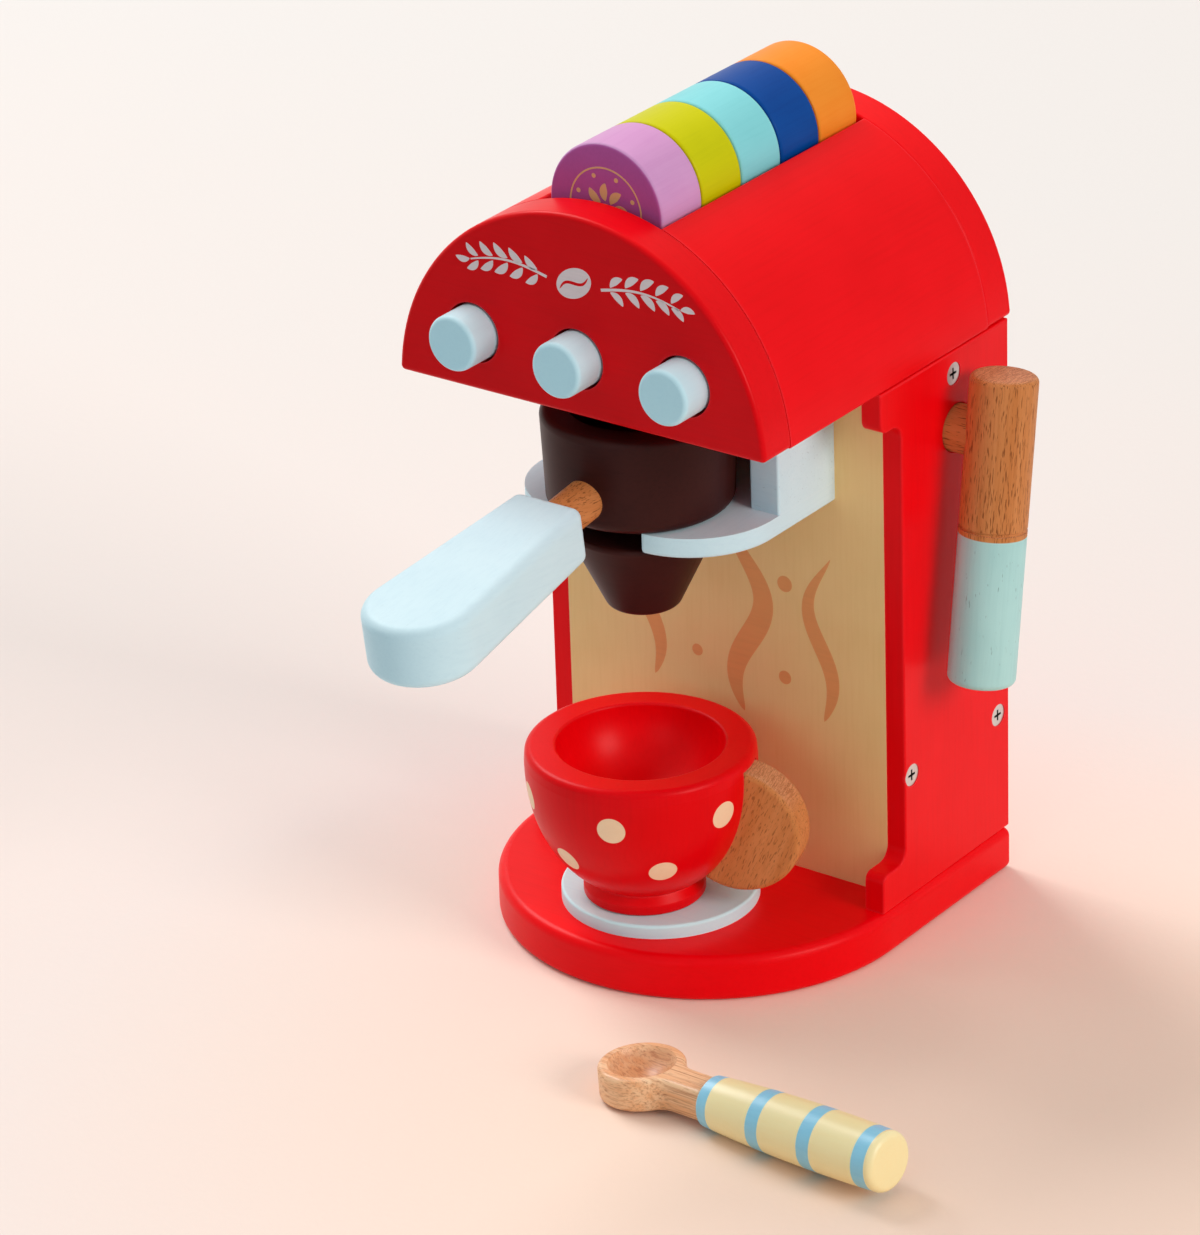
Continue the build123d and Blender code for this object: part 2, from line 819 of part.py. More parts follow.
def cup_blank():
    """The turned cup without its mouth, standing on Z = 0."""
    rise = cup_widest - cup_waist_height
    steps = (0, 0.06, 0.14, 0.25, 0.4, 0.6, 0.8, 1)
    heights = [cup_waist_height + step * rise for step in steps]
    points = [(cup_belly_radius(height), height) for height in heights]
    belly = Spline(*points)
    waist = points[0]
    outline = belly + Polyline(
        (cup_radius, cup_widest),
        (cup_radius - cup_rim_taper, cup_height),
        (0, cup_height),
        (0, 0),
        (cup_foot_radius, 0),
        (cup_foot_radius, cup_foot_height),
        waist,
    )
    body = revolve(make_face(Plane.XZ * outline), axis=Axis.Z)
    rims = body.edges().filter_by(GeomType.CIRCLE)
    top = rims.filter_by(lambda e: e.center().Z > cup_height - 0.1)
    body = fillet(top, cup_rim_radius)
    foot = body.edges().filter_by(GeomType.CIRCLE).filter_by(lambda e: e.radius > cup_foot_radius - 0.1)
    foot = foot.filter_by(lambda e: e.center().Z < cup_foot_height + 0.1)
    return fillet(foot, cup_foot_edge_radius)


def cup_ball(wall=0.0):
    """The ball that hollows the cup, or one that much larger, in the cup's place."""
    return Pos(cup_x, cup_y, cup_bottom + cup_ball_height) * Sphere(cup_ball_radius + wall)


def cup_handle_frame():
    return (
        Pos(cup_x, cup_y, cup_bottom + cup_handle_height)
        * Rot(0, 0, cup_handle_turn)
        * Pos(cup_handle_reach, 0, 0)
        * Rot(90, 0, 0)
    )


def cup_body():
    body = Pos(cup_x, cup_y, cup_bottom) * cup_blank() - cup_ball()
    rim = cup_bottom + cup_height
    mouth = body.edges().filter_by(GeomType.CIRCLE).filter_by(
        lambda e: abs(e.radius - cup_mouth_radius) < 0.1 and e.center().Z > rim - 0.1
    )
    body = fillet(mouth, cup_mouth_edge_radius)
    slot = Cylinder(cup_handle_radius + glue_gap, cup_handle_thickness + 2 * glue_gap)
    return body - (cup_handle_frame() * slot - cup_ball(cup_handle_wall - glue_gap))


def cup_handle():
    disc = Cylinder(cup_handle_radius, cup_handle_thickness)
    disc = fillet(disc.edges().filter_by(GeomType.CIRCLE), cup_handle_edge_radius)
    return cup_handle_frame() * disc - cup_ball(cup_handle_wall)


# --- scoop ---

def scoop_belly():
    """Points (distance from the bowl's middle, radius) along the handle: it swells in the middle."""
    points = []
    for step in range(13):
        share = step / 12
        radius = (
            scoop_start_radius * (1 - share) * (1 - 2 * share)
            + scoop_middle_radius * share * (1 - share) * 4
            + scoop_end_radius * share * (2 * share - 1)
        )
        points.append((scoop_handle_start + glue_gap + scoop_handle_length * share, radius))
    return points


def scoop_tilt():
    """The scoop lies on the far edge of its bowl and on the belly of its thicker handle."""
    slopes = [
        (radius - scoop_bowl_thickness / 2) / (scoop_bowl_radius + run)
        for run, radius in scoop_belly()
    ]
    return math.degrees(math.atan(max(slopes)))


def scoop_axis():
    """Origin in the middle of the scoop's bowl, +X along the handle's axis."""
    tilt = math.radians(scoop_tilt())
    height = scoop_bowl_thickness / 2 * math.cos(tilt) + scoop_bowl_radius * math.sin(tilt)
    place = Pos(scoop_x, scoop_y, scoop_floor_gap + height)
    return place * Rot(0, 0, scoop_turn) * Rot(0, -scoop_tilt(), 0)


def scoop_bowl():
    disc = Cylinder(scoop_bowl_radius, scoop_bowl_thickness)
    neck = Pos(scoop_handle_start / 2, 0, 0) * Box(
        scoop_handle_start, scoop_neck_width, scoop_bowl_thickness
    )
    body = disc + neck
    corners = body.edges().filter_by(Axis.Z).filter_by(
        lambda e: e.center().X < scoop_handle_start - 1
    )
    body = fillet(corners, scoop_neck_radius)
    rims = body.faces().filter_by(Axis.Z).edges()
    rims = rims.filter_by(lambda e: e.center().X < scoop_handle_start - 0.5)
    body = fillet(rims, scoop_bowl_edge_radius)
    ball_radius = (scoop_hollow_radius**2 + scoop_hollow_depth**2) / (2 * scoop_hollow_depth)
    top = scoop_bowl_thickness / 2
    body = body - Pos(0, 0, top - scoop_hollow_depth + ball_radius) * Sphere(ball_radius)
    tenon_end = scoop_handle_start + scoop_tenon_length
    body = body + rod_along_x(scoop_tenon_radius, scoop_handle_start - 1, tenon_end, 0, 0)
    return scoop_axis() * body


def scoop_handle():
    belly = scoop_belly()
    start = belly[0][0]
    end = belly[-1][0]
    outline = Spline(*belly) + Polyline(belly[-1], (end, 0), (start, 0), belly[0])
    body = revolve(make_face(outline), axis=Axis.X)
    rims = body.edges().filter_by(GeomType.CIRCLE).sort_by(Axis.X)
    body = chamfer(rims[0], scoop_start_chamfer)
    rims = body.edges().filter_by(GeomType.CIRCLE).sort_by(Axis.X)
    body = fillet(rims[-1], scoop_end_rounding)
    tenon_end = scoop_handle_start + scoop_tenon_length + 0.2
    socket = rod_along_x(scoop_tenon_radius + glue_gap, start - 1, tenon_end, 0, 0)
    return scoop_axis() * (body - socket)


def build():
    write(base_board(), "base_board")
    write(splash_panel(), "splash_panel")
    write(rear_panel(), "rear_panel")
    write(top_rail(), "top_rail")
    write(face_plate(), "face_plate")
    write(end_plate(barrel_back, back_thickness, groove_radius, back_edge_radius), "back_plate")
    write(housing_floor(), "housing_floor")
    write(trough_floor(), "trough_floor")
    write(spring_board(), "spring_board")
    for name, side in (("left", -1), ("right", 1)):
        write(side_panel(side), "side_panel_" + name)
        write(barrel_cover(side), "barrel_cover_" + name)
        write(trough_side(side), "trough_side_" + name)
        write(fork_block(side), "fork_block_" + name)
    for name, step in (("left", -1), ("middle", 0), ("right", 1)):
        write(button(step * button_spacing), "button_" + name)
        write(button_spring(step * button_spacing), "button_spring_" + name)
    write(fork_plate(), "fork_plate")
    write(cup_rest(), "cup_rest")
    write(screw_group(side_screw_places(), side_screw_length), "side_screws")
    write(screw_group(base_screw_places(), base_screw_length), "base_screws")
    write(screw_group(rail_screw_places(), rail_screw_length), "rail_screws")
    write(screw_group(fork_screw_places(), fork_screw_length), "fork_screws")
    write(lever_bar(), "lever_bar")
    write(lever_hub(), "lever_hub")
    write(lever_washer(), "lever_washer")
    write(lever_screw(), "lever_screw")
    write(filter_bowl(), "filter_bowl")
    write(filter_spout(), "filter_spout")
    write(handle_dowel_blank(dowel_radius), "filter_dowel")
    write(filter_handle(), "filter_handle")
    write(cup_body(), "cup_body")
    write(cup_handle(), "cup_handle")
    for index, colour in enumerate(("lavender", "lime", "turquoise", "blue", "orange")):
        write(pod(index), "pod_" + colour)
    write(scoop_bowl(), "scoop_bowl")
    write(scoop_handle(), "scoop_handle")


os.makedirs("parts", exist_ok=True)
build()
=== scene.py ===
import math

import bmesh
import bpy
from mathutils import Matrix, Vector


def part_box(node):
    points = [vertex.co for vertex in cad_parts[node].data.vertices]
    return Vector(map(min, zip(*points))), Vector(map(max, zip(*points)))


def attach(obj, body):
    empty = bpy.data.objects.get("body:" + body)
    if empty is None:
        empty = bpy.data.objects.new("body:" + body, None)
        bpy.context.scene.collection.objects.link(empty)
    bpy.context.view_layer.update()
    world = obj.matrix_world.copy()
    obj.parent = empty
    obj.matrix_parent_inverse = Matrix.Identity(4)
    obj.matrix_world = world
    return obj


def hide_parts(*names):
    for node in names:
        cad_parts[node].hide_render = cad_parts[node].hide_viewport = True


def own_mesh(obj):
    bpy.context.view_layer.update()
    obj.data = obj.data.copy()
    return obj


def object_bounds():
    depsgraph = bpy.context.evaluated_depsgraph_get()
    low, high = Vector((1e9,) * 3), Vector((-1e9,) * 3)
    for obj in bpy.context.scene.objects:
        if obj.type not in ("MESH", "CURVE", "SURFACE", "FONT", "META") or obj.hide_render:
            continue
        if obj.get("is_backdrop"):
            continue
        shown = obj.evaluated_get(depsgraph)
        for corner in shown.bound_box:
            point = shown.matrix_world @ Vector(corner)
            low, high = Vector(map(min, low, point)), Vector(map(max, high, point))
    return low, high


# Wooden toy coffee maker. Sizes are written in millimetres and become metres where meshes are made.
# +Z is up, -Y is the front. The turned and sawn pieces come from the frame. This script paints them,
# winds the springs behind the buttons and adds the thin films of printed paint.

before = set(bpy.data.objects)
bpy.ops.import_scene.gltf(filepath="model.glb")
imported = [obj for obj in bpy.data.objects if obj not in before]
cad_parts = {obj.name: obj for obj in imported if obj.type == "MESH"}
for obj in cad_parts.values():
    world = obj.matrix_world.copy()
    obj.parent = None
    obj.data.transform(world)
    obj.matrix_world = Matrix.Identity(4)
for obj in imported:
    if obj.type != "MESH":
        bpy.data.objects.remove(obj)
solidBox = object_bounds()
mm = 0.001
noTurn = (0, 0, 0)
print("frame loaded")


# shader helpers

def colour(red, green, blue):
    # screen colour, 0 to 255, to the linear values that shaders take, by the sRGB curve
    def linear(part):
        part = part / 255
        return part / 12.92 if part <= 0.04045 else ((part + 0.055) / 1.055) ** 2.4
    return (linear(red), linear(green), linear(blue), 1.0)


def addNode(tree, kind, inputs=None, **settings):
    node = tree.nodes.new(kind)
    for key, value in settings.items():
        setattr(node, key, value)
    for key, value in (inputs or {}).items():
        if isinstance(value, bpy.types.NodeSocket):
            tree.links.new(value, node.inputs[key])
        else:
            node.inputs[key].default_value = value
    return node


def mathNode(tree, operation, first, second=None, third=None, clamp=False):
    inputs = {0: first}
    if second is not None:
        inputs[1] = second
    if third is not None:
        inputs[2] = third
    return addNode(tree, "ShaderNodeMath", inputs, operation=operation, use_clamp=clamp).outputs[0]


def product(tree, first, second):
    return mathNode(tree, "MULTIPLY", first, second)


def anyOf(tree, masks):
    # 1 where one of the masks is 1
    total = masks[0]
    for mask in masks[1:]:
        total = mathNode(tree, "MAXIMUM", total, mask)
    return total


def vectorNode(tree, operation, first, second, output="Vector"):
    inputs = {0: first, 1: second}
    return addNode(tree, "ShaderNodeVectorMath", inputs, operation=operation).outputs[output]


def lengthOf(tree, vector):
    return vectorNode(tree, "LENGTH", vector, vector, "Value")


def separate(tree, vector):
    return addNode(tree, "ShaderNodeSeparateXYZ", {0: vector}).outputs


def ramp(tree, value, low, high, fromValue=0.0, toValue=1.0):
    return addNode(tree, "ShaderNodeMapRange", {
        "Value": value, "From Min": low, "From Max": high, "To Min": fromValue, "To Max": toValue,
    }).outputs[0]


def mixColours(tree, share, first, second):
    # a mix node takes its colours in sockets 6 and 7, and its numbers in 2 and 3
    return addNode(tree, "ShaderNodeMix", {0: share, 6: first, 7: second}, data_type="RGBA").outputs[2]


def mixNumbers(tree, share, first, second):
    return addNode(tree, "ShaderNodeMix", {0: share, 2: first, 3: second}).outputs[0]


def turned(tree, vector, turn):
    # turn is in degrees about x, y and z
    if turn == noTurn:
        return vector
    angles = [math.radians(angle) for angle in turn]
    return addNode(tree, "ShaderNodeVectorRotate", {"Vector": vector, "Rotation": angles},
                   rotation_type="EULER_XYZ").outputs[0]


def woodPoint(tree, turn=noTurn):
    # a point of the piece in its own rest place, turned so that a slanted piece stands straight
    return turned(tree, addNode(tree, "ShaderNodeTexCoord").outputs["Object"], turn)


def noise(tree, point, scale, detail=2.0, roughness=0.5, shift=(0, 0, 0)):
    # scale is in cells per metre, one number or one for each axis
    scale = scale if isinstance(scale, tuple) else (scale, scale, scale)
    spread = addNode(tree, "ShaderNodeMapping", {"Vector": point, "Location": shift, "Scale": scale})
    return addNode(tree, "ShaderNodeTexNoise", {
        "Vector": spread.outputs[0], "Scale": 1.0, "Detail": detail, "Roughness": roughness,
    }).outputs["Fac"]


def alongGrain(axis, across, along):
    scale = [across, across, across]
    scale["xyz".index(axis)] = along
    return tuple(scale)


surface = {
    "edgeRadius": 1.1,
    "edgeSpan": (0.995, 0.80),      # how well the true and the rounded normal agree: flat face, paled edge
    "endSpan": (0.72, 0.92),        # how squarely a surface faces along the grain: side, sawn end
    "gloss": 0.1,                   # specular level of the lacquer
    "scoopGloss": 0.6,
}


def edgeMask(tree):
    # 1 on rounded corners and 0 on flat faces
    soft = addNode(tree, "ShaderNodeBevel", {"Radius": surface["edgeRadius"] * mm}, samples=4).outputs[0]
    true = addNode(tree, "ShaderNodeNewGeometry").outputs["Normal"]
    return ramp(tree, vectorNode(tree, "DOT_PRODUCT", soft, true, "Value"), *surface["edgeSpan"])


def endMask(tree, axis, turn=noTurn):
    # 1 where the surface is sawn across the grain
    facing = turned(tree, addNode(tree, "ShaderNodeTexCoord").outputs["Normal"], turn)
    direction = [1.0 if axis == name else 0.0 for name in "xyz"]
    across = mathNode(tree, "ABSOLUTE", vectorNode(tree, "DOT_PRODUCT", facing, direction, "Value"))
    return ramp(tree, across, *surface["endSpan"])


# A layer is a finish before it reaches the shader: its colour, its roughness and its relief in mm.

coat = {
    # cells of each pattern per metre: across the grain and along it, or the same both ways
    "lines": (900, 42),
    "pits": (1500, 330),
    "cloud": 55,
    "specks": 2600,
    # the part of each pattern that shows
    "lineSpan": (0.45, 0.75),
    "pitSpan": (0.70, 0.76),
    "cloudSpan": (0.35, 0.7),
    "speckSpan": (0.35, 0.65),
    "deepening": 0.4,               # how much of the deeper colour the lines and the cloud each bring
    "pitShade": 0.62,               # brightness of a pit
    "pitDepth": 3,                  # in depths of the lines
    "speckRelief": 0.002,
    "wearAndHighlightSpan": (0.2, 0.6),         # least and most paling on the edges, from wear and painted highlight
    "wearAndHighlight": 0.16,                   # how much paler an edge is, where a paint doesn't say: wear, and on the red also a painted highlight
    "roughSpan": 0.10,              # how far the roughness varies
}


def paintLayer(tree, look):
    point = woodPoint(tree, look.get("turn", noTurn))
    lines = noise(tree, point, alongGrain(look["grain"], *coat["lines"]), detail=3, roughness=0.6)
    cloud = noise(tree, point, coat["cloud"])
    specks = noise(tree, point, coat["specks"], detail=1)
    pits = noise(tree, point, alongGrain(look["grain"], *coat["pits"]), detail=1, shift=(3, 1, 2))
    share = mathNode(tree, "MULTIPLY_ADD", ramp(tree, lines, *coat["lineSpan"]), coat["deepening"],
                     product(tree, ramp(tree, cloud, *coat["cloudSpan"]), coat["deepening"]))
    body = mixColours(tree, share, colour(*look["main"]), colour(*look["deep"]))
    pitMask = ramp(tree, pits, *coat["pitSpan"])
    pitShare = look.get("pits", 0.0)
    body = mixColours(tree, product(tree, pitMask, pitShare), body,
                      colour(*[part * coat["pitShade"] for part in look["deep"]]))
    # edges turn paler: wear, and on the red paint a painted highlight as well
    lifted = [part + (255 - part) * look.get("wearAndHighlight", coat["wearAndHighlight"]) for part in look["main"]]
    wearAndHighlightMask = product(tree, edgeMask(tree), ramp(tree, specks, *coat["speckSpan"], *coat["wearAndHighlightSpan"]))
    relief = mathNode(tree, "MULTIPLY_ADD", lines, look["depth"], product(tree, specks, coat["speckRelief"]))
    relief = mathNode(tree, "MULTIPLY_ADD", pitMask, -coat["pitDepth"] * pitShare * look["depth"], relief)
    return {
        "colour": mixColours(tree, wearAndHighlightMask, body, colour(*lifted)),
        "rough": mathNode(tree, "MULTIPLY_ADD", cloud, coat["roughSpan"],
                          look["rough"] - coat["roughSpan"] / 2),
        "relief": relief,
    }


beechLook = {
    "light": (220, 143, 85),
    "main": (206, 125, 67),
    "dark": (178, 100, 50),
    "streak": 0.5,                  # how much the fine dark streaks show
    "pore": (128, 68, 34),
    "poreShare": 0.8,
    "end": (226, 158, 114),
    "endDark": (188, 118, 80),
    "rough": 0.46,
    "poreDepth": 0.035,
}
discBeechLook = dict(beechLook, poreShare=0.55)
scoopBeechLook = {
    "light": (255, 212, 168),
    "main": (240, 170, 114),
    "dark": (178, 100, 56),
    "streak": 1.0,
    "pore": (146, 82, 48),
    "poreShare": 0.3,
    "end": (248, 190, 138),
    "endDark": (220, 146, 94),
    "rough": 0.40,
    "poreDepth": 0.03,
}
beechFigure = {
    # cells of each pattern per metre: across the grain and along it
    "bands": (210, 9),
    "streaks": (1500, 45),
    "pores": (2500, 250),
    "flecks": (1000, 300),
    "rays": (330, 2600),            # on sawn ends
    # the part of each pattern that shows
    "bandSpan": (0.32, 0.68),
    "streakSpan": (0.5, 0.85),
    "poreSpan": (0.575, 0.66),
    "fleckSpan": (0.66, 0.74),
    "raySpan": (0.42, 0.6),
    "fleckShare": 0.35,
    "endShare": 0.8,                # how much of a sawn end's own colour shows
    "streakRelief": 0.3,            # in depths of a pore
    "poreRough": 0.2,
}


def beechLayer(tree, grain, turn=noTurn, look=beechLook):
    figure = beechFigure
    point = woodPoint(tree, turn)
    bands = noise(tree, point, alongGrain(grain, *figure["bands"]), detail=3, roughness=0.62)
    streaks = noise(tree, point, alongGrain(grain, *figure["streaks"]))
    pores = noise(tree, point, alongGrain(grain, *figure["pores"]), detail=1.5, roughness=0.6,
                  shift=(0.3, 0.1, 0.7))
    flecks = noise(tree, point, alongGrain(grain, *figure["flecks"]), detail=1, shift=(2, 5, 1))
    rays = noise(tree, point, alongGrain("y" if grain == "x" else "x", *figure["rays"]), roughness=0.6)
    dark = colour(*look["dark"])
    wood = mixColours(tree, ramp(tree, bands, *figure["bandSpan"]), colour(*look["light"]),
                      colour(*look["main"]))
    wood = mixColours(tree, ramp(tree, streaks, *figure["streakSpan"], 0, look["streak"]), wood, dark)
    wood = mixColours(tree, ramp(tree, flecks, *figure["fleckSpan"], 0, figure["fleckShare"]), wood, dark)
    sawn = mixColours(tree, ramp(tree, rays, *figure["raySpan"]), colour(*look["end"]),
                      colour(*look["endDark"]))
    wood = mixColours(tree, product(tree, endMask(tree, grain, turn), figure["endShare"]), wood, sawn)
    poreMask = ramp(tree, pores, *figure["poreSpan"])
    wood = mixColours(tree, product(tree, poreMask, look["poreShare"]), wood, colour(*look["pore"]))
    relief = mathNode(tree, "SUBTRACT", product(tree, streaks, figure["streakRelief"]), poreMask)
    return {
        "colour": wood,
        "rough": mathNode(tree, "MULTIPLY_ADD", poreMask, figure["poreRough"], look["rough"]),
        "relief": product(tree, relief, look["poreDepth"]),
    }


def coverLayer(tree, mask, under, over):
    return {
        "colour": mixColours(tree, mask, under["colour"], over["colour"]),
        "rough": mixNumbers(tree, mask, under["rough"], over["rough"]),
        "relief": mixNumbers(tree, mask, under["relief"], over["relief"]),
    }


def newMaterial(name, makeLayer, gloss=surface["gloss"]):
    material = bpy.data.materials.new(name)
    material.use_nodes = True
    tree = material.node_tree
    shader = tree.nodes["Principled BSDF"]
    layer = makeLayer(tree)
    tree.links.new(layer["colour"], shader.inputs["Base Color"])
    tree.links.new(layer["rough"], shader.inputs["Roughness"])
    relief = addNode(tree, "ShaderNodeBump", {"Height": layer["relief"], "Strength": 1.0, "Distance": mm})
    tree.links.new(relief.outputs[0], shader.inputs["Normal"])
    if "glow" in layer:
        tree.links.new(layer["glow"], shader.inputs["Emission Strength"])
    shader.inputs["Specular IOR Level"].default_value = gloss
    return material, shader


# degrees by which the slanted pieces are turned back, so that their grain runs along an axis
grainTurns = {
    "filterHandle": (7.7, 0, 0),
    "leverBar": (8.1, 0, 0),
    "cupDisc": (0, -24, -15.4),
}


# paints

# the red's edges pale more than other paints' (0.32 against 0.16): part wear, part painted highlight
redPaint = {"main": (252, 0, 14), "deep": (241, 0, 8), "rough": 0.34, "depth": 0.005, "wearAndHighlight": 0.32}
skyPaint = {"main": (218, 242, 249), "deep": (208, 234, 243), "rough": 0.42, "depth": 0.006, "pits": 0.05}
paints = {
    "redUpright": dict(redPaint, grain="z"),
    "redAcross": dict(redPaint, grain="x"),
    "redFrontToBack": dict(redPaint, grain="y"),
    # the face plate takes the body's red made deeper: painted shade on the front
    "redFacePaintedShade": dict(redPaint, main=(241, 0, 13), deep=(229, 0, 8), grain="x"),
    "skyBoard": dict(skyPaint, grain="y"),
    "skyEndGrain": dict(skyPaint, grain="x", depth=0.040, pits=0.3),
    "skyHandle": dict(skyPaint, grain="y", turn=grainTurns["filterHandle"]),
    "skyButton": dict(skyPaint, main=(212, 244, 252), deep=(204, 238, 248), grain="y"),
    "coffee": {"main": (62, 25, 22), "deep": (48, 19, 17), "rough": 0.38, "depth": 0.008, "grain": "x"},
    "panel": {"main": (255, 218, 152), "deep": (248, 208, 140), "rough": 0.46, "depth": 0.005, "grain": "z"},
    "rest": {"main": (216, 252, 255), "deep": (206, 244, 252), "rough": 0.42, "depth": 0.008, "grain": "x"},
    "lining": {"main": (214, 176, 128), "deep": (196, 154, 104), "rough": 0.62, "depth": 0.03, "grain": "y"},
}

# paints that share a piece with a second one or with bare beech
sharedPaints = {
    # the cup takes the body's red made deeper: painted shade
    "redCupPaintedShade": dict(redPaint, main=(238, 0, 12), deep=(226, 0, 8), grain="z"),
    "dots": {"main": (255, 218, 182), "deep": (253, 209, 170), "rough": 0.44, "depth": 0.006, "grain": "x"},
    "teal": {"main": (188, 228, 224), "deep": (172, 215, 212), "rough": 0.40, "depth": 0.030, "grain": "z",
             "turn": grainTurns["leverBar"], "pits": 0.45},
    "cream": {"main": (255, 240, 184), "deep": (255, 234, 172), "rough": 0.36, "depth": 0.008, "grain": "x"},
    "band": {"main": (144, 213, 242), "deep": (128, 202, 234), "rough": 0.36, "depth": 0.008, "grain": "x"},
}


# red cup with cream dots

cupPattern = {
    "centre": (-0.6, -34.2),
    "foot": 18.7,                   # height at which the cup stands
    "dotRadius": 4.3,
    "copies": 6,
    # height above the foot, radius of the cup there, turn of the first dot in degrees
    "rows": ((36.5, 34.3, -9.6), (21.0, 29.0, -43.0)),
    "spareTurns": 20,               # keeps the folded turn above zero
    "blur": 0.05,                   # half the width of the paint's edge
}


def dotMask(tree):
    look = cupPattern
    blur = look["blur"]
    parts = separate(tree, woodPoint(tree))
    across = mathNode(tree, "SUBTRACT", parts["X"], look["centre"][0] * mm)
    along = mathNode(tree, "SUBTRACT", parts["Y"], look["centre"][1] * mm)
    reach = mathNode(tree, "SQRT",
                     mathNode(tree, "MULTIPLY_ADD", across, across, product(tree, along, along)))
    turn = mathNode(tree, "ARCTAN2", along, across)
    sector = 2 * math.pi / look["copies"]
    dots = []
    for height, radius, first in look["rows"]:
        # every dot is folded onto the first one
        share = mathNode(tree, "MULTIPLY_ADD", turn, 1 / sector,
                         look["spareTurns"] + 0.5 - math.radians(first) / sector)
        folded = product(tree, mathNode(tree, "SUBTRACT", mathNode(tree, "FRACT", share), 0.5), sector)
        outward = product(tree, reach, mathNode(tree, "COSINE", folded))
        offset = addNode(tree, "ShaderNodeCombineXYZ", {
            0: mathNode(tree, "SUBTRACT", outward, radius * mm),
            1: product(tree, reach, mathNode(tree, "SINE", folded)),
            2: mathNode(tree, "SUBTRACT", parts["Z"], (look["foot"] + height) * mm),
        }).outputs[0]
        away = lengthOf(tree, offset)
        dots.append(ramp(tree, away, (look["dotRadius"] + blur) * mm, (look["dotRadius"] - blur) * mm))
    return anyOf(tree, dots)


def cupLayer(tree):
    return coverLayer(tree, dotMask(tree), paintLayer(tree, sharedPaints["redCupPaintedShade"]),
                      paintLayer(tree, sharedPaints["dots"]))


# striped scoop with a hollow in its bowl

scoopBands = {
    "bowlCentre": (51.8, -109.0, 5.9),
    "turn": -6.4,                   # degrees about the vertical
    "tilt": 3.8,                    # degrees that the handle rises
    "handleStart": 26.2,            # from the bowl's centre
    "starts": (0.0, 20.3, 39.7, 59.6),
    "width": 4.6,
    "blur": 0.06,
}
scoopBowl = {
    "hollowRadius": 10.1,
    "hollowRim": (0.1, 0.9),        # inside the radius, where the painted shade starts and where it is full
    "hollowPaintedShade": 0.34,            # how much darker the hollow is: painted shade
    "under": 3.0,                   # height that lies below the hollow's floor
    "floorSpan": 1.0,               # height over which the painted shade comes in above it
}


def distanceAlong(tree, origin, direction):
    # millimetres from a point along a slanted axis
    start = vectorNode(tree, "SUBTRACT", woodPoint(tree), [value * mm for value in origin])
    return mathNode(tree, "DIVIDE", vectorNode(tree, "DOT_PRODUCT", start, direction, "Value"), mm)


def bandMask(tree):
    look = scoopBands
    blur = look["blur"]
    turn, tilt = math.radians(look["turn"]), math.radians(look["tilt"])
    direction = (math.cos(tilt) * math.cos(turn), math.cos(tilt) * math.sin(turn), math.sin(tilt))
    run = distanceAlong(tree, look["bowlCentre"], direction)
    bands = []
    for start in look["starts"]:
        low = look["handleStart"] + start
        high = low + look["width"]
        bands.append(product(tree, ramp(tree, run, low - blur, low + blur),
                             ramp(tree, run, high + blur, high - blur)))
    return anyOf(tree, bands)


def scoopHandleLayer(tree):
    return coverLayer(tree, bandMask(tree), paintLayer(tree, sharedPaints["cream"]),
                      paintLayer(tree, sharedPaints["band"]))


def scoopBowlLayer(tree):
    look = scoopBowl
    wood = beechLayer(tree, "x", (0, scoopBands["tilt"], -scoopBands["turn"]), scoopBeechLook)
    point = woodPoint(tree)
    offset = vectorNode(tree, "SUBTRACT", point, [value * mm for value in scoopBands["bowlCentre"]])
    away = lengthOf(tree, vectorNode(tree, "MULTIPLY", offset, (1, 1, 0)))
    height = separate(tree, point)["Z"]
    rimStart, rimEnd = [(look["hollowRadius"] - inside) * mm for inside in look["hollowRim"]]
    hollow = product(tree, ramp(tree, height, look["under"] * mm, (look["under"] + look["floorSpan"]) * mm),
                     ramp(tree, away, rimStart, rimEnd))
    # painted shade in the scoop's hollow
    wood["colour"] = mixColours(tree, product(tree, hollow, look["hollowPaintedShade"]), wood["colour"],
                                colour(*scoopBeechLook["dark"]))
    return wood


# steam lever, dipped in teal paint up to a straight edge

leverPaint = {
    "pivot": (79.5, 38.3, 157.6),
    "edge": -29.0,                  # along the bar from the pivot
    "blur": 0.08,
}


def leverLayer(tree):
    look = leverPaint
    turn = grainTurns["leverBar"]
    tilt = math.radians(turn[0])
    height = distanceAlong(tree, look["pivot"], (0, math.sin(tilt), math.cos(tilt)))
    painted = ramp(tree, height, look["edge"] + look["blur"], look["edge"] - look["blur"])
    return coverLayer(tree, painted, beechLayer(tree, "z", turn), paintLayer(tree, sharedPaints["teal"]))


# coffee pods: a lighter rim and a deeper face

podFinish = {"rough": 0.42, "depth": 0.008, "grain": "y", "faceDeepening": 0.93}
podPaints = {
    # rim colour, deeper rim colour, face colour
    "lavender": ((222, 162, 210), (212, 148, 200), (198, 96, 170)),
    "lime": ((214, 210, 0), (204, 202, 0), (194, 190, 0)),
    "turquoise": ((144, 224, 228), (132, 214, 218), (116, 198, 204)),
    "blue": ((0, 74, 156), (0, 64, 142), (0, 58, 130)),
    "orange": ((255, 152, 48), (250, 138, 32), (238, 120, 24)),
}


def podLayer(tree, rim, deep, face):
    faceDeep = [part * podFinish["faceDeepening"] for part in face]
    side = paintLayer(tree, dict(podFinish, main=rim, deep=deep))
    flat = paintLayer(tree, dict(podFinish, main=face, deep=faceDeep))
    return coverLayer(tree, endMask(tree, "y"), side, flat)


# screws, washer and spring wire

steel = {
    "light": (228, 228, 226),
    "dull": (196, 196, 196),
    "recess": (52, 48, 46),
    "recessSpan": (0.1, 0.4),       # depths below a head's face where the painted shade starts and where it is full
    "scratches": (3000, 3000, 500),
    "scratchDepth": 0.01,
    "roughSpan": 0.2,
    "gloss": 0.5,
}


